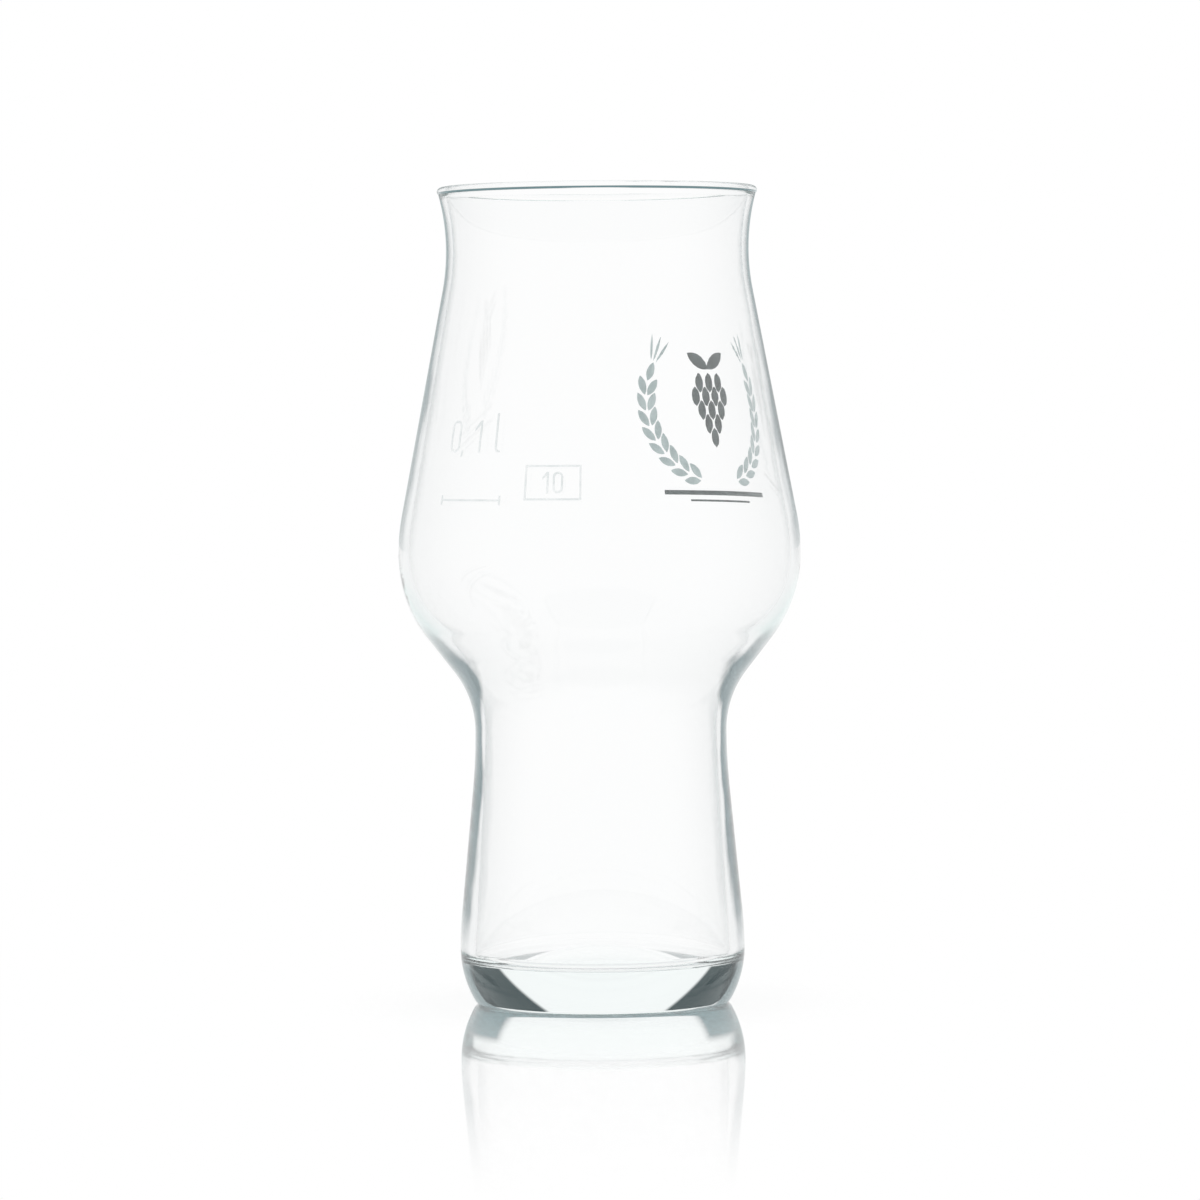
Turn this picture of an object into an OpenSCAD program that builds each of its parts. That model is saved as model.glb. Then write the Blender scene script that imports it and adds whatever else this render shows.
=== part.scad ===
// Tulip beer glass for a tasting measure: a waisted foot on a thick base, a bulging bowl, a drawn-in
// neck and a flared lip, with fired enamel print on the outside.
// Millimetres. The origin is on the table at the middle of the foot, +Z is up, and the front faces -Y.
// The glass is one revolved section. Its outside and its cavity each run through a few stations, where
// the wall stands upright. Two tangent arcs, with a straight stretch between them, join each station to
// the next.

/* [Lip and neck] */
// Height from the table to the top of the lip
glass_height = 122; // [110:0.5:140]
// Height of the lip, from the narrowest point of the neck to the top
lip_h = 9.3; // [6:0.1:14]
// Outer radius at the narrowest point of the neck
neck_r = 22.6; // [21:0.1:25]
// Radius of the outward sweep from the neck up to the lip
lip_sweep_r = 31.6; // [24:0.1:45]
// Radius of the blend from the neck down into the bowl
neck_blend_r = 32.3; // [20:0.1:45]
// Wall at the neck and lip
lip_wall = 1; // [0.7:0.05:1.6]
// How far the fire-polished bead of the rim stands proud of each face of the wall
rim_proud = 0.1; // [0.05:0.05:0.3]

/* [Bowl] */
// Largest outer radius of the bowl
bowl_r = 30.1; // [28:0.1:34]
// Height of the widest point of the bowl
bowl_z = 67.4; // [63:0.1:71]
// Radius of the blend from the widest point up to the neck
bowl_upper_blend_r = 30; // [15:0.1:40]
// Radius of the blend from the widest point down to the waist
bowl_lower_blend_r = 20.7; // [12:0.1:24]
// Wall at the widest point of the bowl
bowl_wall = 1.5; // [1:0.05:2.2]
// Radius of the cavity's blend from its widest point down to its waist
cavity_shoulder_r = 16.5; // [10:0.1:20]

/* [Waist] */
// Outer radius at the narrowest point of the waist
waist_r = 18.8; // [17:0.1:20]
// Height of the narrowest point of the waist
waist_z = 40.8; // [37:0.1:44]
// Radius of the blend from the waist up into the bowl
waist_upper_blend_r = 14.6; // [8:0.1:20]
// Radius of the blend from the waist down into the shaft
waist_lower_blend_r = 86; // [40:0.5:110]
// Wall at the waist
waist_wall = 1.5; // [1.1:0.05:2.4]
// How far the cavity's narrowest point lies above the outer waist
cavity_waist_rise = 0.8; // [0:0.1:3]
// Radius of the cavity's blend from its waist up into the bowl
cavity_waist_upper_r = 17.5; // [10:0.1:22]
// Radius of the cavity's blend from its waist down into the shaft
cavity_waist_lower_r = 86; // [40:0.5:110]

/* [Foot and base] */
// Largest outer radius of the foot
foot_r = 21.3; // [20:0.1:24]
// Height of the widest point of the foot
foot_z = 8.4; // [6:0.1:12]
// Radius of the blend from the foot up into the shaft
foot_blend_r = 50; // [20:0.5:80]
// Radius of the heel, from the widest point down to the table
heel_r = 15.8; // [14:0.1:24]
// Radius of the rounded edge where the heel meets the table
heel_edge_r = 1.3; // [0.6:0.1:2.5]
// Wall of the foot at the foot of the cavity
foot_wall = 2.2; // [1.6:0.05:3]
// Thickness of the base, from the table to the floor along the cavity wall
base_t = 6.6; // [5:0.1:10]
// Radius of the corner between the floor and the wall of the cavity
cavity_corner_r = 1.5; // [1:0.1:5]
// Height of the low dome in the middle of the cavity floor
crown_h = 2; // [0.5:0.1:4]
// Width of the flat ring of floor round the dome
floor_ring_w = 4.6; // [2:0.1:8]
// Width of the flat ring that the glass stands on, round the hollow under the base
bearing_w = 4.1; // [2:0.1:7]
// Depth of the hollow at its middle
punt_depth = 1.4; // [0.5:0.1:3]

/* [Fill line and frame] */
// Thickness of the fired enamel
enamel_t = 0.08; // [0.04:0.01:0.2]
// Width of the thin printed lines
line_w = 0.3; // [0.2:0.05:0.6]
// Height of the fill line, where the cavity holds the measure
fill_z = 75.8; // [74:0.1:82]
// Direction of the middle of the fill line, from +X
fill_angle = -131; // [-150:1:-110]
// Length of the fill line along the glass
fill_line_l = 11.6; // [8:0.1:16]
// Height of the two ticks that end the fill line
fill_tick_h = 1.4; // [0.8:0.1:2.4]
// Direction of the middle of the printed frame, from +X
frame_angle = -103.6; // [-108:0.1:-95]
// Width of the printed frame along the glass
frame_w = 8.6; // [6:0.1:12]
// Height of the printed frame
frame_h = 5.1; // [4:0.1:8]

/* [Badge] */
// Direction of the middle of the badge, from +X
badge_angle = 47; // [0:1:90]
// Height of the middle of the badge over the widest point of the bowl
badge_rise = 18.6; // [14:0.1:24]
// Radius of the ring that the two ears of barley follow
ear_ring_r = 12.3; // [10:0.1:13]
// Number of pairs of grains on an ear
grain_pairs = 8; // [5:1:9]
// Gap between the two rows of grains
grain_gap = 0.25; // [0.2:0.05:0.8]
// Length of the bristles at the tip of an ear
awn_l = 4; // [2:0.1:5]
// Width of a bristle
awn_w = 0.4; // [0.2:0.05:0.6]
// Spacing of the bracts across and down the hop cone
bract_pitch = 2.1; // [1.6:0.05:2.5]
// Gap between two bracts side by side
bract_gap = 0.6; // [0.4:0.05:1]
// Length of the two leaves over the hop cone
leaf_l = 4.6; // [3:0.1:6]
// Width of the two leaves
leaf_w = 1.9; // [1:0.05:2.4]
// Length of the upper rule under the badge
upper_rule_l = 22; // [10:0.5:26]
// Length of the lower rule under the badge
lower_rule_l = 13; // [6:0.5:20]
// Height of the upper rule, which is the heavier one
upper_rule_h = 0.7; // [0.4:0.05:1]

/* [Hidden] */
$fn = 160;
// Largest turn between two points of a round stretch of the section
arc_step = 3;
// Number of bracts in each row of the hop cone, from the top
bract_rows = [3, 4, 3, 2, 1];
// Length of a bract as a share of the spacing
bract_length_share = 1.43;
// Length and width of a grain as shares of the spacing along an ear
grain_length_share = 1.26;
grain_width_share = 0.5;
// Height of the middle of the hop cone and of the ring of ears over the middle of the badge
hop_rise = 2.3;
ear_ring_rise = 3.4;
// First and last grain of the right ear, as directions round the ring
ear_start_angle = -66;
ear_end_angle = 12;
// How far a grain leans away from its ear, a bristle from the next one, and a leaf from upright
grain_lean = 24;
awn_fan = 16;
leaf_lean = 58;
// Gap between the last grain of an ear and its bristles
awn_gap = 0.3;
// Gap between the two rules, and from the ears down to the upper rule
rule_gap = 0.7;
rule_drop = 1.2;

glass_color = [0.86, 0.91, 0.9, 0.45];
pale_color = [0.8, 0.83, 0.83];
dark_color = [0.22, 0.28, 0.28];
grey_green_color = [0.62, 0.69, 0.69];

// Points of a round stretch about c, from one direction to another
function arc_points(c, r, from, to) =
    let (steps = max(1, ceil(abs(to - from) / arc_step)))
    [for (i = [0:steps]) let (a = from + (to - from) * i / steps) c + r * [cos(a), sin(a)]];

function reversed(points) = [for (i = [len(points) - 1:-1:0]) points[i]];

// Share of the two blend radii that a stretch dr wide and dz high has room for
function blend_share(dr, dz, blends) = min(1, (dr * dr + dz * dz) / (2 * dr * blends));

// Slope from upright of the straight stretch between two blends
function stretch_lean(dr, dz, blends) =
    let (across = blends - dr)
    atan2(dz, across) - acos(min(1, blends / norm([across, dz])));

// Wall from a belly, the wider station, to a hollow, the narrower one
function belly_to_hollow(belly, hollow, belly_blend, hollow_blend) =
    let (
        dr = belly.x - hollow.x,
        dz = abs(hollow.y - belly.y),
        up = sign(hollow.y - belly.y),
        share = blend_share(dr, dz, belly_blend + hollow_blend),
        rb = belly_blend * share,
        rh = hollow_blend * share,
        lean = up * stretch_lean(dr, dz, rb + rh)
    )
    concat(
        arc_points(belly - [rb, 0], rb, 0, lean),
        arc_points(hollow + [rh, 0], rh, 180 + lean, 180)
    );

// Wall from one station up to the next, whichever of the two is wider
function stretch(low, high, low_blend, high_blend) =
    low.x > high.x
        ? belly_to_hollow(low, high, low_blend, high_blend)
        : reversed(belly_to_hollow(high, low, high_blend, low_blend));

// Stations of the outside, as radius and height
foot = [foot_r, foot_z];
waist = [waist_r, waist_z];
bowl = [bowl_r, bowl_z];
neck = [neck_r, glass_height - lip_h];

// Stations of the cavity
cavity_foot = [foot_r - foot_wall, base_t + cavity_corner_r];
cavity_waist = [waist_r - waist_wall, waist_z + cavity_waist_rise];
cavity_bowl = [bowl_r - bowl_wall, bowl_z];
cavity_neck = neck - [lip_wall, 0];

// Heel: a small edge on the table that runs inside the large heel arc
heel_center = foot - [heel_r, 0];
heel_edge_x = heel_center.x + sqrt(pow(heel_r - heel_edge_r, 2) - pow(foot_z - heel_edge_r, 2));
heel_edge_center = [heel_edge_x, heel_edge_r];
heel_turn = atan2(heel_edge_center.y - heel_center.y, heel_edge_center.x - heel_center.x);

// Angle between two sides of a triangle, by the side across from it
function corner_angle(a, b, across) = acos((a * a + b * b - across * across) / (2 * a * b));

// Lip: both faces sweep round one centre and run into the bead of the rim
lip_center = neck + [lip_sweep_r, 0];
lip_inner_r = lip_sweep_r + lip_wall;
rim_r = lip_wall / 2 + rim_proud;
rim_reach = lip_sweep_r + lip_wall / 2;
rim_turn = asin((lip_h - rim_r) / rim_reach);
rim_center = lip_center + rim_reach * [-cos(rim_turn), sin(rim_turn)];

// How far a face sweeps up to the bead, and the direction from the bead's middle to where they meet
function lip_turn(face_r) = rim_turn - corner_angle(rim_reach, face_r, rim_r);
function bead_angle(face_r) = -rim_turn - corner_angle(rim_reach, rim_r, face_r);

// Radius of the ball that a round cap is cut from, by the cap's radius and height
function ball_r(r, h) = (r * r + h * h) / (2 * h);

// Hollow under the base, a shallow round cap inside the bearing ring
punt_r = heel_edge_x - bearing_w;
punt_ball_r = ball_r(punt_r, punt_depth);
punt_center = [0, punt_depth - punt_ball_r];
punt_turn = asin(punt_r / punt_ball_r);

// Dome on the floor of the cavity, a low round cap inside the flat ring
crown_r = cavity_foot.x - cavity_corner_r - floor_ring_w;
crown_ball_r = ball_r(crown_r, crown_h);
crown_center = [0, base_t + crown_h - crown_ball_r];
crown_turn = asin(crown_r / crown_ball_r);

// Outer wall from the waist up to the rim, set out by a skin's thickness
function upper_wall(skin = 0) = concat(
    stretch(waist + [skin, 0], bowl + [skin, 0], waist_upper_blend_r - skin, bowl_lower_blend_r + skin),
    stretch(bowl + [skin, 0], neck + [skin, 0], bowl_upper_blend_r + skin, neck_blend_r - skin),
    arc_points(lip_center, lip_sweep_r - skin, 180, 180 - lip_turn(lip_sweep_r))
);

function outside() = concat(
    arc_points(heel_edge_center, heel_edge_r, -90, heel_turn),
    arc_points(heel_center, heel_r, heel_turn, 0),
    stretch(foot, waist, foot_blend_r, waist_lower_blend_r),
    upper_wall()
);

function cavity() = concat(
    arc_points(cavity_foot - [cavity_corner_r, 0], cavity_corner_r, -90, 0),
    stretch(cavity_foot, cavity_waist, cavity_corner_r, cavity_waist_lower_r),
    stretch(cavity_waist, cavity_bowl, cavity_waist_upper_r, cavity_shoulder_r),
    stretch(cavity_bowl, cavity_neck, bowl_upper_blend_r - bowl_wall, neck_blend_r + lip_wall),
    arc_points(lip_center, lip_inner_r, 180, 180 - lip_turn(lip_inner_r))
);

function glass_section() = concat(
    arc_points(punt_center, punt_ball_r, 90, 90 - punt_turn),
    outside(),
    arc_points(rim_center, rim_r, bead_angle(lip_sweep_r), 360 + bead_angle(lip_inner_r)),
    reversed(cavity()),
    arc_points(crown_center, crown_ball_r, 90 - crown_turn, 90)
);

// Volume of the cavity up to a height, as a pile of cone slices less the dome, in millilitres
mm3_per_ml = 1000;
crown_volume = PI / 6 * crown_h * (3 * crown_r * crown_r + crown_h * crown_h);
function total(list) = list * [for (value = list) 1];
function slice_volume(low, high) =
    PI / 3 * (high.y - low.y) * (low.x * low.x + low.x * high.x + high.x * high.x);
function cut_at(low, high, z) = low + (high - low) * min(1, (z - low.y) / (high.y - low.y));
function cavity_volume(z) =
    let (wall = cavity())
    (total([for (i = [1:len(wall) - 1])
        if (wall[i - 1].y < min(z, wall[i].y)) slice_volume(wall[i - 1], cut_at(wall[i - 1], wall[i], z))])
        - crown_volume) / mm3_per_ml;
echo(measure_ml = cavity_volume(fill_z), brimful_ml = cavity_volume(glass_height));

// Fired enamel, a thin skin on the outer wall
module enamel_section() {
    polygon(concat(upper_wall(), reversed(upper_wall(enamel_t))));
}

// Radius of the outer wall at a height, for turning lengths along the glass into angles
function print_r(z) = lookup(z, [for (p = upper_wall()) [p.y, p.x]]);
function turn_for(l, z) = l / print_r(z) * 180 / PI;

// How far a cut or a stamp reaches past the enamel
overrun = 1;
print_reach = bowl_r + enamel_t + overrun;

// A block of the ring round the axis: a turn about a direction, from z up by h
module ring_block(angle, turn, z, h) {
    rotate([0, 0, angle - turn / 2])
        rotate_extrude(angle = turn)
            translate([0, z])
                square([print_reach, h]);
}

// A band of enamel round the glass: a turn about a direction, from z up by h
module printed_band(angle, turn, z, h) {
    rotate([0, 0, angle - turn / 2])
        rotate_extrude(angle = turn)
            intersection() {
                enamel_section();
                translate([0, z])
                    square([print_reach, h]);
            }
}

badge_z = bowl_z + badge_rise;

// A flat shape stamped on the badge: u along the glass and v up from the badge's middle
module stamp(u, v) {
    rotate([0, 0, badge_angle + turn_for(u, badge_z)])
        translate([0, 0, badge_z + v])
            rotate([90, 0, 90])
                linear_extrude(print_reach)
                    children();
}

// Enamel where the stamped shapes meet the glass
module printed_stamps() {
    intersection() {
        rotate_extrude()
            enamel_section();
        union()
            children();
    }
}

// Radius of the two flanks of a pointed oval, l long and w wide
function oval_flank_r(l, w) = (l * l + w * w) / (4 * w);

// A pointed oval, such as a grain, a bract or a leaf
module pointed_oval(l, w) {
    r = oval_flank_r(l, w);
    intersection() {
        translate([r - w / 2, 0])
            circle(r);
        translate([w / 2 - r, 0])
            circle(r);
    }
}

module glass_vessel() {
    color(glass_color)
        rotate_extrude()
            polygon(glass_section());
}

module fill_line() {
    gap_turn = turn_for(fill_line_l - 2 * line_w, fill_z);
    gap_h = (fill_tick_h - line_w) / 2;
    color(pale_color)
        difference() {
            printed_band(fill_angle, turn_for(fill_line_l, fill_z), fill_z - fill_tick_h / 2, fill_tick_h);
            for (z = [fill_z + line_w / 2, fill_z - line_w / 2 - gap_h - overrun])
                ring_block(fill_angle, gap_turn, z, gap_h + overrun);
        }
}

module capacity_frame() {
    window_turn = turn_for(frame_w - 2 * line_w, fill_z);
    color(pale_color)
        difference() {
            printed_band(frame_angle, turn_for(frame_w, fill_z), fill_z, frame_h);
            ring_block(frame_angle, window_turn, fill_z + line_w, frame_h - 2 * line_w);
        }
}

module badge_hop() {
    bract_w = bract_pitch - bract_gap;
    bract_l = bract_pitch * bract_length_share;
    cone_h = (len(bract_rows) - 1) * bract_pitch;
    top = hop_rise + cone_h / 2;
    color(dark_color)
        printed_stamps() {
            for (row = [0:len(bract_rows) - 1])
                for (i = [0:bract_rows[row] - 1])
                    stamp((i - (bract_rows[row] - 1) / 2) * bract_pitch, top - row * bract_pitch)
                        pointed_oval(bract_l, bract_w);
            for (side = [-1, 1])
                stamp(side * leaf_l / 2 * sin(leaf_lean), top + bract_pitch + leaf_l / 2 * cos(leaf_lean))
                    rotate(-side * leaf_lean)
                        pointed_oval(leaf_l, leaf_w);
        }
}

// Place on the badge at a direction and a reach from the middle of the ring of ears
function ring_point(angle, reach) = [reach * cos(angle), ear_ring_rise + reach * sin(angle)];

// One ear of barley round the badge's ring, on the right for side 1 and on the left for side -1
module ear(side) {
    pair_turn = (ear_end_angle - ear_start_angle) / (grain_pairs - 1);
    grain_pitch = ear_ring_r * pair_turn * PI / 180;
    grain_l = grain_pitch * grain_length_share;
    grain_w = grain_pitch * grain_width_share;
    grain_flank_r = oval_flank_r(grain_l, grain_w);
    grain_reach = grain_flank_r - (grain_flank_r - grain_w / 2) * cos(grain_lean);
    tip_angle = ear_end_angle + pair_turn;
    tip = ring_point(tip_angle, ear_ring_r);
    awn_reach = grain_l / 2 + awn_gap + awn_l / 2;
    color(grey_green_color)
        printed_stamps() {
            for (i = [0:grain_pairs - 1])
                for (flank = [-1, 1]) {
                    angle = ear_start_angle + i * pair_turn;
                    place = ring_point(angle, ear_ring_r + flank * (grain_reach + grain_gap / 2));
                    stamp(side * place.x, place.y)
                        rotate(side * (angle - flank * grain_lean))
                            pointed_oval(grain_l, grain_w);
                }
            stamp(side * tip.x, tip.y)
                rotate(side * tip_angle)
                    pointed_oval(grain_l, grain_w);
            for (fan = [-awn_fan, 0, awn_fan]) {
                lean = tip_angle + fan;
                stamp(side * (tip.x - awn_reach * sin(lean)), tip.y + awn_reach * cos(lean))
                    rotate(side * lean)
                        pointed_oval(awn_l, awn_w);
            }
        }
}

module badge_left_ear() {
    ear(-1);
}

module badge_right_ear() {
    ear(1);
}

rule_top = badge_z + ear_ring_rise - ear_ring_r - rule_drop;

module badge_upper_rule() {
    color(dark_color)
        printed_band(badge_angle, turn_for(upper_rule_l, rule_top), rule_top - upper_rule_h, upper_rule_h);
}

module badge_lower_rule() {
    top = rule_top - upper_rule_h - rule_gap;
    color(dark_color)
        printed_band(badge_angle, turn_for(lower_rule_l, top), top - line_w, line_w);
}

glass_vessel();
fill_line();
capacity_frame();
badge_hop();
badge_left_ear();
badge_right_ear();
badge_upper_rule();
badge_lower_rule();
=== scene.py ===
import math

import bpy
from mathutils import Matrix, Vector


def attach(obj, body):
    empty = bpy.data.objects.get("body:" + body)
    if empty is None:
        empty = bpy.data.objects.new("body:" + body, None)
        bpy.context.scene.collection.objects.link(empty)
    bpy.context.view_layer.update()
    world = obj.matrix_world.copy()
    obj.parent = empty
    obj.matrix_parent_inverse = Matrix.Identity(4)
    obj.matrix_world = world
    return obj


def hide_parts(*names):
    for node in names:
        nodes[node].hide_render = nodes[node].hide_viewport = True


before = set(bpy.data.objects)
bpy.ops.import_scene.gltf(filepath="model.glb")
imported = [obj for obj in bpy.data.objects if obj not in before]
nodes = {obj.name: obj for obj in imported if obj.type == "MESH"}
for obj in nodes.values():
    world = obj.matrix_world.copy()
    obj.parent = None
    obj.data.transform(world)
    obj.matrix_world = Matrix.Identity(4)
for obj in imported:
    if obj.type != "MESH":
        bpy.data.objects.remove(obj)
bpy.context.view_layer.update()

scene = bpy.context.scene
mm = 0.001
toDegrees = 180 / math.pi
pureWhite = (1, 1, 1, 1)
print("frame loaded:", ", ".join(sorted(nodes)))


# small hands for edit mode

def deselectAll():
    if bpy.context.object and bpy.context.object.mode != "OBJECT":
        bpy.ops.object.mode_set(mode="OBJECT")
    bpy.ops.object.select_all(action="DESELECT")


def makeActive(piece):
    deselectAll()
    piece.select_set(True)
    bpy.context.view_layer.objects.active = piece


def applyModifiers(piece):
    makeActive(piece)
    for modifier in list(piece.modifiers):
        bpy.ops.object.modifier_apply(modifier=modifier.name)


# shader maths as Python expressions

class Sock:
    def __init__(self, shader, socket):
        self.shader = shader
        self.socket = socket

    def math(self, operation, *others):
        values = {0: self}
        for place, other in enumerate(others, 1):
            values[place] = other
        return self.shader.node("Math", {"operation": operation}, values)

    def __add__(self, other):
        return self.math("ADD", other)

    __radd__ = __add__

    def __mul__(self, other):
        return self.math("MULTIPLY", other)

    __rmul__ = __mul__

    def __sub__(self, other):
        return self.math("SUBTRACT", other)

    def __rsub__(self, other):
        return self.shader.node("Math", {"operation": "SUBTRACT"}, {0: other, 1: self})

    def out(self, name):
        return Sock(self.shader, self.socket.node.outputs[name])


class Shader:
    def __init__(self, tree):
        self.tree = tree
        tree.nodes.clear()

    def node(self, kind, settings=None, values=None, output=0):
        made = self.tree.nodes.new("ShaderNode" + kind)
        for key, value in (settings or {}).items():
            if key == "stops":
                self.setStops(made.color_ramp, value)
            else:
                setattr(made, key, value)
        for key, value in (values or {}).items():
            if isinstance(value, Sock):
                self.tree.links.new(value.socket, made.inputs[key])
            else:
                made.inputs[key].default_value = value
        return Sock(self, made.outputs[output]) if made.outputs else made

    def setStops(self, colorRamp, stops):
        while len(colorRamp.elements) < len(stops):
            colorRamp.elements.new(1.0)
        for element, (place, color) in zip(colorRamp.elements, stops):
            element.position = place
            element.color = color

    def ramp(self, value, low, high, start=0.0, end=1.0):
        ends = {"Value": value, "From Min": low, "From Max": high, "To Min": start, "To Max": end}
        return self.node("MapRange", {"interpolation_type": "SMOOTHSTEP"}, ends)

    def noise(self, place, scale, detail):
        return self.node("TexNoise", None, {"Vector": place, "Scale": scale, "Detail": detail})

    def mixColor(self, factor, first, second):       # 6, 7 and 2 are the colour sockets of a Mix node
        return self.node("Mix", {"data_type": "RGBA"}, {0: factor, 6: first, 7: second}, 2)


def newMaterial(name):
    material = bpy.data.materials.new(name)
    material.use_nodes = True
    return material, Shader(material.node_tree)


# camera

cameraSizes = {
    "distance": 786 * mm,       # from the axis of the glass
    "height": 89 * mm,          # above the table
    "aim": 60.35 * mm,          # height on the axis at the middle of the picture
    "lens": 157.75,
    "sensor": 36,
    "roll": 0.44,               # degrees, the glass leans to the left in the picture
    "clip": (0.01, 50),
}


def makeCamera(size):
    data = bpy.data.cameras.new("camera")
    camera = bpy.data.objects.new("camera", data)
    scene.collection.objects.link(camera)
    data.lens = size["lens"]
    data.sensor_width = size["sensor"]
    data.clip_start, data.clip_end = size["clip"]
    camera.location = (0, -size["distance"], size["height"])
    sight = Vector((0, 0, size["aim"])) - camera.location
    camera.rotation_euler = sight.to_track_quat("-Z", "Y").to_euler()
    camera.rotation_euler.rotate_axis("Z", math.radians(-size["roll"]))
    scene.camera = camera


makeCamera(cameraSizes)
print("camera set")


# glass

glassSizes = {
    "height": 122,
    "neck": (22.6, 112.7),      # radius and height of each station
    "bowl": (30.1, 67.4),
    "waist": (18.8, 40.8),
    "foot": (21.3, 8.4),
    "lipSweep": 31.6,
    "neckBlend": 32.3,
    "bowlUpperBlend": 30,
    "bowlLowerBlend": 20.7,
    "waistUpperBlend": 14.6,
    "waistLowerBlend": 86,
    "footBlend": 50,
    "heel": 15.8,
    "heelEdge": 1.3,
    "lipWall": 1.0,
    "rimBead": 0.6,             # fire-polished bead, a little fatter than the wall
    "bowlWall": 1.5,
    "waistWall": 1.5,
    "footWall": 2.2,
    "cavityShoulder": 16.5,
    "cavityWaistRise": 0.8,
    "cavityWaistUpper": 17.5,
    "cavityWaistLower": 86,
    "baseThick": 6.6,
    "cavityCorner": 1.5,
    "crownHeight": 2.0,         # low dome on the floor of the cavity
    "floorRing": 4.6,           # flat ring of floor round the dome
    "puntRadius": 14.04,
    "puntDepth": 1.4,
    "printGap": 0.035,          # air behind the print, so that its back shows its true colour
    "arcStep": 2.0,             # degrees between points of a round stretch
    "capStep": 1.0,
    "edgeStep": 6,
    "beadStep": 9,
    "cornerStep": 4,
    "sameSpot": 0.002,          # points of the section nearer than this are one
    "weld": 0.0005,             # the same for the spun mesh
    "turns": 256,               # steps of the spin
    "smoothAngle": 30,          # sharper bends stay crisp
}


def arcPoints(center, radius, start, end, step):
    count = max(2, math.ceil(abs(end - start) / step))
    angles = [math.radians(start + (end - start) * i / count) for i in range(count + 1)]
    return [(center[0] + radius * math.cos(a), center[1] + radius * math.sin(a)) for a in angles]


def capPoints(radius, height, base, step):
    ball = (radius ** 2 + height ** 2) / (2 * height)
    turn = math.degrees(math.asin(radius / ball))
    return arcPoints((0, base + height - ball), ball, 90, 90 - turn, step)


def turnToBead(middle, face, bead):      # degrees round the lip's centre from the bead's middle to a face
    return math.degrees(math.acos((middle ** 2 + face ** 2 - bead ** 2) / (2 * middle * face)))


def bearingFrom(center, point):
    return math.degrees(math.atan2(point[1] - center[1], point[0] - center[0]))


def wallStretch(belly, hollow, bellyBlend, hollowBlend, step):      # two tangent arcs, belly to hollow
    inwards = belly[0] - hollow[0]
    rise = abs(hollow[1] - belly[1])
    up = 1 if hollow[1] > belly[1] else -1
    share = min(1, (inwards ** 2 + rise ** 2) / (2 * inwards * (bellyBlend + hollowBlend)))
    bellyRadius, hollowRadius = bellyBlend * share, hollowBlend * share
    radii = bellyRadius + hollowRadius
    across = radii - inwards
    lean = math.atan2(rise, across) - math.acos(min(1, radii / math.hypot(across, rise)))
    lean = up * math.degrees(lean)
    bellyArc = arcPoints((belly[0] - bellyRadius, belly[1]), bellyRadius, 0, lean, step)
    hollowArc = arcPoints((hollow[0] + hollowRadius, hollow[1]), hollowRadius, 180 + lean, 180, step)
    return bellyArc + hollowArc


def outerStations(size):
    gap = size["printGap"]
    bowl = (size["bowl"][0] - gap, size["bowl"][1])
    neck = (size["neck"][0] - gap, size["neck"][1])
    return size["foot"], size["waist"], bowl, neck


def outerLine(size):        # from the middle of the hollow under the foot up to the neck
    step = size["arcStep"]
    foot, waist, bowl, neck = outerStations(size)
    heel, edge = size["heel"], size["heelEdge"]
    heelCenter = (foot[0] - heel, foot[1])
    edgeX = heelCenter[0] + math.sqrt((heel - edge) ** 2 - (foot[1] - edge) ** 2)
    heelTurn = math.degrees(math.atan2(edge - foot[1], edgeX - heelCenter[0]))
    points = capPoints(size["puntRadius"], size["puntDepth"], 0, size["capStep"])
    points += arcPoints((edgeX, edge), edge, -90, heelTurn, size["edgeStep"])
    points += arcPoints(heelCenter, heel, heelTurn, 0, step)
    points += wallStretch(foot, waist, size["footBlend"], size["waistLowerBlend"], step)
    points += wallStretch(bowl, waist, size["bowlLowerBlend"], size["waistUpperBlend"], step)[::-1]
    points += wallStretch(bowl, neck, size["bowlUpperBlend"], size["neckBlend"], step)
    return points


def lipLine(size):          # up the outer face, round the bead and down the inner face
    step = size["arcStep"]
    neck = outerStations(size)[-1]
    center = (neck[0] + size["lipSweep"], neck[1])
    faceOut, faceIn, bead = size["lipSweep"], size["lipSweep"] + size["lipWall"], size["rimBead"]
    middle = (faceIn + faceOut) / 2
    turn = math.degrees(math.asin((size["height"] - bead - neck[1]) / middle))
    rimCenter = (center[0] - middle * math.cos(math.radians(turn)), size["height"] - bead)
    outTurn = turn - turnToBead(middle, faceOut, bead)
    inTurn = turn - turnToBead(middle, faceIn, bead)
    outer = arcPoints(center, faceOut, 180, 180 - outTurn, step)
    inner = arcPoints(center, faceIn, 180, 180 - inTurn, step)
    beadStart = bearingFrom(rimCenter, outer[-1])
    beadEnd = bearingFrom(rimCenter, inner[-1]) + 360
    return outer + arcPoints(rimCenter, bead, beadStart, beadEnd, size["beadStep"]) + inner[::-1]


def cavityLine(size):       # from the middle of the cavity's floor up to the neck
    step, corner = size["arcStep"], size["cavityCorner"]
    foot, waist, bowl, neck = outerStations(size)
    inFoot = (foot[0] - size["footWall"], size["baseThick"] + corner)
    inWaist = (waist[0] - size["waistWall"], waist[1] + size["cavityWaistRise"])
    inBowl = (bowl[0] - size["bowlWall"], bowl[1])
    inNeck = (neck[0] - size["lipWall"], neck[1])
    crownRadius = inFoot[0] - corner - size["floorRing"]
    points = capPoints(crownRadius, size["crownHeight"], size["baseThick"], size["capStep"])
    points += arcPoints((inFoot[0] - corner, inFoot[1]), corner, -90, 0, size["cornerStep"])
    points += wallStretch(inFoot, inWaist, corner, size["cavityWaistLower"], step)
    points += wallStretch(inBowl, inWaist, size["cavityShoulder"], size["cavityWaistUpper"], step)[::-1]
    points += wallStretch(inBowl, inNeck, size["bowlUpperBlend"] - size["bowlWall"],
                          size["neckBlend"] + size["lipWall"], step)
    return points


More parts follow.
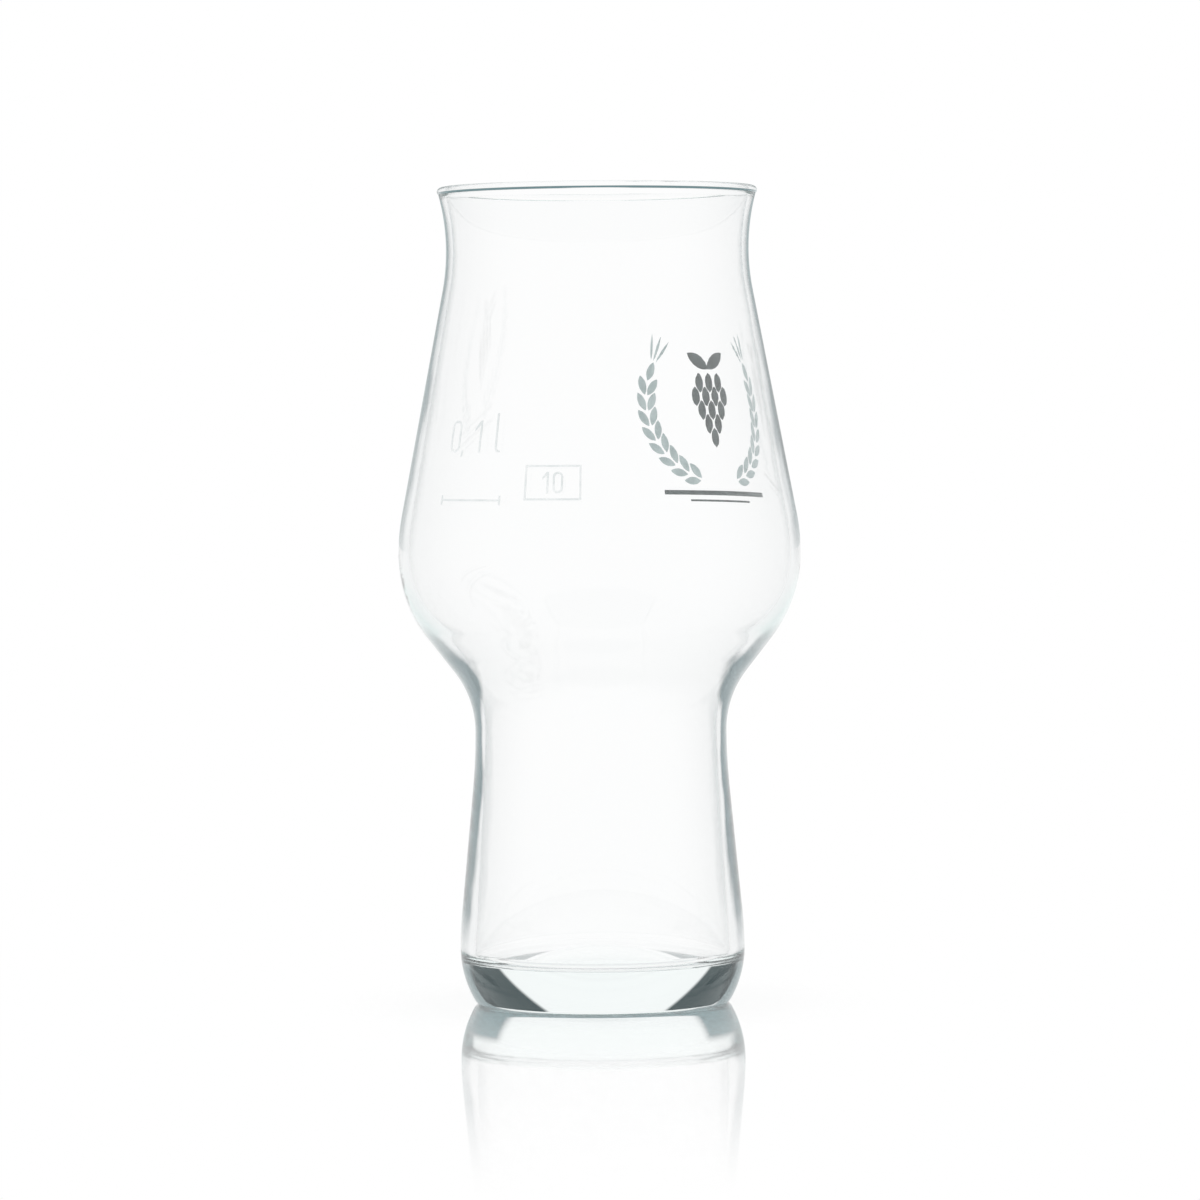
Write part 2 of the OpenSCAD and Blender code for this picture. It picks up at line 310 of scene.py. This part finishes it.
def glassSection(size):
    points = outerLine(size) + lipLine(size) + cavityLine(size)[::-1]
    clean = [points[0]]
    for point in points[1:]:
        if math.dist(point, clean[-1]) > size["sameSpot"]:
            clean.append(point)
    return clean


def drawLine(name, points, y=0):
    deselectAll()
    start = (points[0][0] * mm, y * mm, points[0][1] * mm)
    bpy.ops.mesh.primitive_circle_add(vertices=3, radius=mm, location=start)
    piece = bpy.context.object
    piece.name = name
    bpy.ops.object.transform_apply(location=True, rotation=True, scale=True)
    bpy.ops.object.mode_set(mode="EDIT")
    bpy.ops.mesh.select_all(action="SELECT")
    bpy.ops.mesh.merge(type="CENTER")        # one point, drawn out along the line
    for last, point in zip(points, points[1:]):
        move = ((point[0] - last[0]) * mm, 0, (point[1] - last[1]) * mm)
        bpy.ops.mesh.extrude_region_move(TRANSFORM_OT_translate={"value": move})
    return piece


def makeGlass(size):
    glass = drawLine("clear_glass", glassSection(size))
    bpy.ops.mesh.select_all(action="SELECT")
    bpy.ops.mesh.spin(steps=size["turns"], angle=math.tau, center=(0, 0, 0), axis=(0, 0, 1))
    bpy.ops.mesh.select_all(action="SELECT")
    bpy.ops.mesh.remove_doubles(threshold=size["weld"] * mm)
    bpy.ops.mesh.normals_make_consistent(inside=False)
    bpy.ops.object.mode_set(mode="OBJECT")
    bpy.ops.object.shade_smooth_by_angle(angle=math.radians(size["smoothAngle"]))
    return glass


glass = makeGlass(glassSizes)
print("glass spun:", len(glass.data.polygons), "faces")


# printed figures

figureSizes = {
    "stroke": 0.32,
    "printThick": 0.08,
    "printGap": glassSizes["printGap"],
    "sheet": -45,               # the flat sheet that the figures are cut from, in front of the glass
    "measureBase": 82.7,        # foot of the figures over the fill line
    "measureHeight": 4.65,
    "measureWidth": 2.06,
    "noughtTurn": -49.45,       # degrees from the front to each figure
    "commaTurn": -45.9,
    "oneTurn": -39.9,
    "oneWidth": 1.3,
    "flagDrop": 0.24,           # how far the flag of a one falls, as a share of its height
    "flagEnd": 1.25,            # depth of the flag at its end and at its root, in strokes
    "flagRoot": 1.7,
    "noughtRound": 0.48,        # corner of a nought, as a share of its width
    "noughtSteps": 8,
    "comma": [(-0.1, 0.3), (0.22, 0.3), (0, -0.6), (-0.22, -0.6)],
    "litreTurn": -32.2,
    "litreHeight": 5.7,
    "litreHalf": 0.42,          # half the width of the litre sign
    "litreOuter": [(0, 0.75), (0.07, 0.4), (0.24, 0.14), (0.5, 0.02)],      # bend of its foot
    "litreInner": [(0.58, 0.02), (0.42, 0.13)],
    "litreBend": 0.8,           # where the inner bend begins
    "framedBase": 76.8,         # foot of the number in the frame
    "framedHeight": 3.1,
    "framedOneTurn": -15.7,
    "framedOneWidth": 0.95,
    "framedNoughtTurn": -12.0,
    "framedNoughtWidth": 1.55,
    "cut": 0.4,                 # figures are cut this fine before they are wrapped on the glass
    "weld": 0.001,              # points nearer than this are one
}


def oneOutline(width, height, size):
    right, stroke = width / 2, size["stroke"]
    flag = height - height * size["flagDrop"]
    return [(right, 0), (right, height), (right - stroke, height), (-right, flag),
            (-right, flag - stroke * size["flagEnd"]),
            (right - stroke, height - stroke * size["flagRoot"]), (right - stroke, 0)]


def litreOutline(size):
    half, stroke, height = size["litreHalf"], size["stroke"], size["litreHeight"]
    outer = [(x - half, z) for x, z in size["litreOuter"]]
    inner = [(x - half, z + stroke) for x, z in size["litreInner"]]
    stem = [(stroke - half, size["litreBend"]), (stroke - half, height)]
    return [(-half, height)] + outer + [(half, 0), (half, stroke)] + inner + stem


def flatFigure(outline, base, size):
    figure = drawLine("figure", [(x, z + base) for x, z in outline], size["sheet"])
    bpy.ops.mesh.select_all(action="SELECT")
    bpy.ops.mesh.edge_face_add()
    return figure


def flatNought(width, height, base, size):
    deselectAll()
    middle = (0, size["sheet"] * mm, (base + height / 2) * mm)
    bpy.ops.mesh.primitive_plane_add(size=mm, location=middle, rotation=(math.pi / 2, 0, 0))
    figure = bpy.context.object
    figure.scale = (width, height, 1)
    bpy.ops.object.transform_apply(location=True, rotation=True, scale=True)
    bpy.ops.object.mode_set(mode="EDIT")
    bpy.ops.mesh.select_all(action="SELECT")
    corner = width * size["noughtRound"] * mm
    bpy.ops.mesh.bevel(affect="VERTICES", offset=corner, segments=size["noughtSteps"])
    bpy.ops.mesh.select_all(action="SELECT")
    bpy.ops.mesh.inset(thickness=size["stroke"] * mm)
    bpy.ops.mesh.delete(type="FACE")         # the eye of the nought
    return figure


def cutAcross(figure, axis, cut):
    bpy.ops.object.mode_set(mode="OBJECT")
    places = [vertex.co[axis] for vertex in figure.data.vertices]
    low, span = min(places), max(places) - min(places)
    count = int(span / (cut * mm))
    bpy.ops.object.mode_set(mode="EDIT")
    for i in range(1, count + 1):
        level = low + span * i / (count + 1)
        bpy.ops.mesh.select_all(action="SELECT")
        bpy.ops.mesh.bisect(plane_co=[level if k == axis else 0 for k in range(3)],
                            plane_no=[1 if k == axis else 0 for k in range(3)])


def wrapFigure(figure, turn, size):
    cutAcross(figure, 0, size["cut"])
    cutAcross(figure, 2, size["cut"])
    bpy.ops.mesh.select_all(action="SELECT")
    bpy.ops.mesh.remove_doubles(threshold=size["weld"] * mm)
    bpy.ops.mesh.normals_make_consistent(inside=False)
    bpy.ops.object.mode_set(mode="OBJECT")
    if figure.data.polygons[0].normal.y > 0:         # the print grows outwards, towards the front
        bpy.ops.object.mode_set(mode="EDIT")
        bpy.ops.mesh.select_all(action="SELECT")
        bpy.ops.mesh.flip_normals()
        bpy.ops.object.mode_set(mode="OBJECT")
    wrap = figure.modifiers.new("wrap", "SHRINKWRAP")
    wrap.target = glass
    wrap.wrap_method = "PROJECT"
    wrap.wrap_mode = "ABOVE_SURFACE"
    wrap.use_project_y = True
    wrap.offset = size["printGap"] * mm
    film = figure.modifiers.new("film", "SOLIDIFY")
    film.thickness = size["printThick"] * mm
    film.offset = 1
    applyModifiers(figure)
    figure.rotation_euler.z = math.radians(turn)
    bpy.ops.object.transform_apply(location=True, rotation=True, scale=True)
    return figure


def joinFigures(name, figures):
    makeActive(figures[0])
    for figure in figures[1:]:
        figure.select_set(True)
    bpy.ops.object.join()
    piece = bpy.context.object
    piece.name = name
    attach(piece, "root")
    return piece


def makeMeasureFigures(size):
    base, height = size["measureBase"], size["measureHeight"]
    nought = flatNought(size["measureWidth"], height, base, size)
    nought = wrapFigure(nought, size["noughtTurn"], size)
    comma = wrapFigure(flatFigure(size["comma"], base, size), size["commaTurn"], size)
    one = flatFigure(oneOutline(size["oneWidth"], height, size), base, size)
    one = wrapFigure(one, size["oneTurn"], size)
    litre = wrapFigure(flatFigure(litreOutline(size), base, size), size["litreTurn"], size)
    return joinFigures("measure_figures", [nought, comma, one, litre])


def makeFramedNumber(size):
    base, height = size["framedBase"], size["framedHeight"]
    one = flatFigure(oneOutline(size["framedOneWidth"], height, size), base, size)
    one = wrapFigure(one, size["framedOneTurn"], size)
    nought = flatNought(size["framedNoughtWidth"], height, base, size)
    nought = wrapFigure(nought, size["framedNoughtTurn"], size)
    return joinFigures("framed_number", [one, nought])


measureFigures = makeMeasureFigures(figureSizes)
framedNumber = makeFramedNumber(figureSizes)
print("figures printed:", len(measureFigures.data.polygons) + len(framedNumber.data.polygons), "faces")


# materials

# glass, with painted shade darkening its colour along its edges
glassAndEdgeShadeSizes = {
    "height": glassSizes["height"] * mm,
    "index": 1.52,
    "absorbColor": (0.4, 0.75, 0.7, 1),
    "absorbDensity": 3.0,           # per metre
    "edgeShadeColor": (0.022, 0.058, 0.067, 1),
    "edgeShadeStations": [                      # painted edge shade: height in mm, how dark the painted shade is, facing where it begins and is full
        (0, 0.95, 0.48, 0.66),
        (6, 0.95, 0.5, 0.68),
        (9, 0.45, 0.6, 0.8),
        (14, 0.9, 0.54, 0.7),
        (32, 0.97, 0.58, 0.69),
        (43, 0.97, 0.62, 0.73),
        (47, 0.95, 0.52, 0.64),
        (52, 0.95, 0.52, 0.68),
        (55, 0.75, 0.6, 0.76),
        (58, 0.0, 0.7, 0.9),
        (64, 0.2, 0.7, 0.88),
        (72, 0.8, 0.67, 0.86),
        (90, 0.95, 0.66, 0.84),
        (112, 1.0, 0.68, 0.86),
        (120.5, 1.0, 0.7, 0.88),
        (121.3, 0.0, 0.74, 0.95),
    ],
    "rimShadeFoot": (120.84 * mm, 120.92 * mm),  # painted shade: dark line along the underside of the rim's bead
    "rimShadeTop": (121.18 * mm, 121.28 * mm),
    "rimShadeFacing": (0.01, 0.05),
    "shade": (0.14, 0.08),          # painted shade: soft grey towards the edges of the shaft and of the bowl
    "shadeFacing": (0.1, 0.6),
    "shadeRise": (46 * mm, 62 * mm),
    "heelShadeFacing": (0.3, 0.38),      # painted shade on the outer part of the heel, dark in the mirror of the table
    "heelShadeTop": (3.5 * mm, 5 * mm),
    "wave": (40, 40, 60),           # slow unevenness of the mould, per metre
    "waveDetail": 1.0,
    "waveDepth": 0.03 * mm,
    "shadeRagScale": (260, 260, 90),       # the painted dark edges are a little ragged, per metre
    "shadeRagDetail": 2.0,
    "shadeRagReach": 0.25,            # in facing
    "shadeRagTop": (96 * mm, 112 * mm),   # the painted edge shade runs clean from here up
}


def clearGlass(size):
    material, s = newMaterial("clear_glass")
    place = s.node("TexCoord", None, None, "Object")
    height = s.node("SeparateXYZ", None, {0: place}, "Z")
    facing = s.node("LayerWeight", None, None, "Facing")
    # painted shade: the glass's colour is darkened towards its edges, set by height and by facing, in place
    # of shade from the light
    stops = [(z * mm / size["height"], (dark, start, full, 1)) for z, dark, start, full in size["edgeShadeStations"]]
    edgeShadeProfile = s.node("ValToRGB", {"stops": stops}, {"Fac": height * (1 / size["height"])})
    edgeShadeProfile = s.node("SeparateColor", None, {0: edgeShadeProfile})
    path = s.node("LightPath")
    drawn = s.node("VectorMath", {"operation": "MULTIPLY"}, {0: place, 1: size["shadeRagScale"]})
    ragged = s.noise(drawn, 1.0, size["shadeRagDetail"]) - 0.5
    ragged = facing + ragged * s.ramp(height, *size["shadeRagTop"], size["shadeRagReach"], 0.0)
    edge = s.ramp(ragged, edgeShadeProfile.out("Green"), edgeShadeProfile.out("Blue")) * edgeShadeProfile.out("Red")
    # painted shade on the outer heel, shown only where the glass is seen in a mirror
    heel = s.ramp(facing, *size["heelShadeFacing"]) * s.ramp(height, *size["heelShadeTop"], 1.0, 0.0)
    edge = edge.math("MAXIMUM", heel * path.out("Is Glossy Ray"))
    # painted shade: soft grey towards the edges of the shaft and of the bowl
    shade = s.ramp(facing, *size["shadeFacing"]) * s.ramp(height, *size["shadeRise"], *size["shade"])
    # painted shade: a dark line under the rim's bead
    rimShade = s.ramp(height, *size["rimShadeFoot"]) * s.ramp(height, *size["rimShadeTop"], 1.0, 0.0)
    edge = edge.math("MAXIMUM", shade).math("MAXIMUM", rimShade * s.ramp(facing, *size["rimShadeFacing"]))
    inside = s.node("NewGeometry", None, None, "Backfacing")
    edge = edge * (1 - path.out("Is Transmission Ray")) * (1 - inside)
    # the painted shade is left off where light has come through glass and on inner faces
    edgeShadeTint = s.mixColor(edge, pureWhite, size["edgeShadeColor"])
    spread = s.node("VectorMath", {"operation": "MULTIPLY"}, {0: place, 1: size["wave"]})
    wave = s.noise(spread, 1.0, size["waveDetail"])
    uneven = s.node("Bump", None, {"Strength": 1.0, "Distance": size["waveDepth"], "Height": wave})
    body = s.node("BsdfPrincipled", None, {
        "Base Color": edgeShadeTint, "Roughness": 0.0, "IOR": size["index"],
        "Transmission Weight": 1.0, "Normal": uneven})
    depth = s.node("VolumeAbsorption", None, {
        "Color": size["absorbColor"], "Density": size["absorbDensity"]})
    s.node("OutputMaterial", None, {"Surface": body, "Volume": depth})
    return material


enamelSizes = {
    "pale_enamel": {"thin": (0.88, 0.9, 0.9, 1), "full": (0.75, 0.79, 0.79, 1)},
    "dark_enamel": {"thin": (0.045, 0.07, 0.07, 1), "full": (0.012, 0.026, 0.026, 1)},
    "grey_green_enamel": {"thin": (0.46, 0.54, 0.54, 1), "full": (0.32, 0.40, 0.40, 1)},
    "grain": 5200,                  # pigment grains, about 0.2 mm
    "cloud": 420,                   # drifts in the film, about 2 mm
    "grainDetail": 2.0,
    "cloudDetail": 3.0,
    "grainShare": 0.45,             # what the grains add to the film, the rest is drifts
    "cover": (0.36, 0.62),          # where the film goes from thin to full
    "grainDepth": 0.012 * mm,
    "grit": 0.6,                    # strength of the grains' relief
    "sheen": (0.34, 0.22),          # roughness, and how much the grains add to it
}


def enamel(name, size):
    material, s = newMaterial(name)
    place = s.node("TexCoord", None, None, "Object")
    grain = s.noise(place, size["grain"], size["grainDetail"])
    cloud = s.noise(place, size["cloud"], size["cloudDetail"])
    film = s.ramp(grain * size["grainShare"] + cloud * (1 - size["grainShare"]), *size["cover"])
    color = s.mixColor(film, size[name]["thin"], size[name]["full"])
    grit = s.node("Bump", None, {"Strength": size["grit"], "Distance": size["grainDepth"], "Height": grain})
    smooth, rough = size["sheen"]
    body = s.node("BsdfPrincipled", None, {
        "Base Color": color, "Roughness": smooth + grain * rough, "Normal": grit})
    s.node("OutputMaterial", None, {"Surface": body})
    return material


glassWithPaintedShade = clearGlass(glassAndEdgeShadeSizes)
paleFinish = enamel("pale_enamel", enamelSizes)
darkFinish = enamel("dark_enamel", enamelSizes)
greyGreenFinish = enamel("grey_green_enamel", enamelSizes)
glass.data.materials.append(glassWithPaintedShade)
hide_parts("glass_vessel")
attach(glass, "root")
for finish, pieces in (
        (paleFinish, (nodes["fill_line"], nodes["capacity_frame"], measureFigures, framedNumber)),
        (darkFinish, (nodes["badge_hop"], nodes["badge_upper_rule"], nodes["badge_lower_rule"])),
        (greyGreenFinish, (nodes["badge_left_ear"], nodes["badge_right_ear"]))):
    for piece in pieces:
        piece.data.materials.clear()
        piece.data.materials.append(finish)
print("finishes set")


# floor

floorSizes = {
    "radius": 4,
    "turns": 96,
    "color": (0.99, 0.99, 0.99, 1),
    "mirror": (20 * mm, 200 * mm),      # the reflection fades out between these reaches
    "mirrorGain": 1.5,                  # the board mirrors at both its faces
    "shadow": (22 * mm, 44 * mm),       # beyond this the floor is as white as the background
    "underGlass": 0.8,                  # how white it looks through the glass
    "gloss": 0.03,
    "index": 1.49,
    "dimBearing": (15, 45),             # from the back to the front, where the glass mirrors a dim table
    "dimColor": (0.66, 0.7, 0.705, 1),
}


def makeFloor(size):
    deselectAll()
    bpy.ops.mesh.primitive_circle_add(vertices=size["turns"], radius=size["radius"], fill_type="NGON")
    floor = bpy.context.object
    floor.name = "floor"
    material, s = newMaterial("floor")
    place = s.node("TexCoord", None, None, "Object")
    reach = s.node("VectorMath", {"operation": "LENGTH"}, {0: place}, "Value")
    matt = s.node("BsdfDiffuse", None, {"Color": size["color"]})
    path = s.node("LightPath")
    parts = s.node("SeparateXYZ", None, {0: place})
    off = parts.out("X").math("ARCTAN2", parts.out("Y")).math("ABSOLUTE") * toDegrees
    dim = s.ramp(off, *size["dimBearing"]) * path.out("Is Reflection Ray") * path.out("Is Singular Ray")
    tone = s.mixColor(dim, pureWhite, size["dimColor"])
    white = s.node("Emission", None, {"Color": tone, "Strength": 1.0})
    clear = s.ramp(reach, *size["shadow"]) * path.out("Is Camera Ray")
    clear = clear.math("MAXIMUM", path.out("Is Glossy Ray"))
    clear = clear.math("MAXIMUM", path.out("Is Transmission Ray") * size["underGlass"])
    table = s.node("MixShader", None, {0: clear, 1: matt, 2: white})
    shine = s.node("BsdfGlossy", None, {"Color": pureWhite, "Roughness": size["gloss"]})
    fresnel = s.node("Fresnel", None, {"IOR": size["index"]})
    mirror = s.ramp(reach, *size["mirror"], 1.0, 0.0) * fresnel * size["mirrorGain"]
    mirror = mirror.math("MINIMUM", 1.0)
    mix = s.node("MixShader", None, {0: mirror, 1: table, 2: shine})
    s.node("OutputMaterial", None, {"Surface": mix})
    floor.data.materials.append(material)


makeFloor(floorSizes)
print("floor laid")


# studio light: a white tent, with two dark flags at the back and a dark ceiling, seen only through the glass

studio = {
    "backTurn": -1.5,       # degrees from the back to the middle of the bright gap between the flags
    "gapHalf": 42.5,        # half width of the gap at the horizon, in degrees
    "gapGable": 1.35,       # how much narrower the gap gets per degree upwards
    "flagOut": (58, 70),    # bearing at which the flags end
    "flagSoft": 1.5,        # soft edge in degrees
    "flagTop": (20, 27),    # elevation at which the flags end
    "flagColor": (0.026, 0.05, 0.055, 1),
    "ceilingFrom": (46, 60),    # elevation at which the dark ceiling begins
    "ceilingColor": (0.06, 0.085, 0.09, 1),
    "faces": 3,             # flags and ceiling show where light has passed fewer faces than this
    "roomColor": (0.66, 0.7, 0.705, 1),     # what the glass mirrors
    "bounces": 96,          # light runs a long way inside the wall
}


def makeWorld(size):
    world = bpy.data.worlds.new("studio")
    scene.world = world
    world.use_nodes = True
    s = Shader(world.node_tree)
    direction = s.node("TexCoord", None, None, "Generated")
    parts = s.node("SeparateXYZ", None, {0: direction})
    bearing = parts.out("X").math("ARCTAN2", parts.out("Y")) * toDegrees - size["backTurn"]
    rise = parts.out("Z").math("ARCSINE").math("MAXIMUM", 0) * toDegrees
    off = bearing.math("ABSOLUTE")
    half = size["gapHalf"] - rise * size["gapGable"]
    flag = s.ramp(off - half, -size["flagSoft"], size["flagSoft"])
    flag = flag * s.ramp(off, *size["flagOut"], 1.0, 0.0) * s.ramp(rise, *size["flagTop"], 1.0, 0.0)
    path = s.node("LightPath")
    straight = path.out("Glossy Depth").math("LESS_THAN", 1)     # not thrown back on the way
    seen = s.mixColor(flag * straight, pureWhite, size["flagColor"])
    seen = s.mixColor(s.ramp(rise, *size["ceilingFrom"]), seen, size["ceilingColor"])
    mirrored = path.out("Is Reflection Ray") * path.out("Is Singular Ray")
    oneWall = path.out("Transmission Depth").math("LESS_THAN", size["faces"])
    color = s.mixColor(path.out("Is Transmission Ray") * oneWall, pureWhite, seen)
    color = s.mixColor(mirrored, color, size["roomColor"])
    back = s.node("Background", None, {"Color": color, "Strength": 1.0})
    s.node("OutputWorld", None, {"Surface": back})


makeWorld(studio)
scene.view_settings.view_transform = "Standard"
scene.cycles.max_bounces = studio["bounces"]
scene.cycles.transmission_bounces = studio["bounces"]
scene.cycles.glossy_bounces = studio["bounces"]
scene.cycles.blur_glossy = 0
print("studio lit")
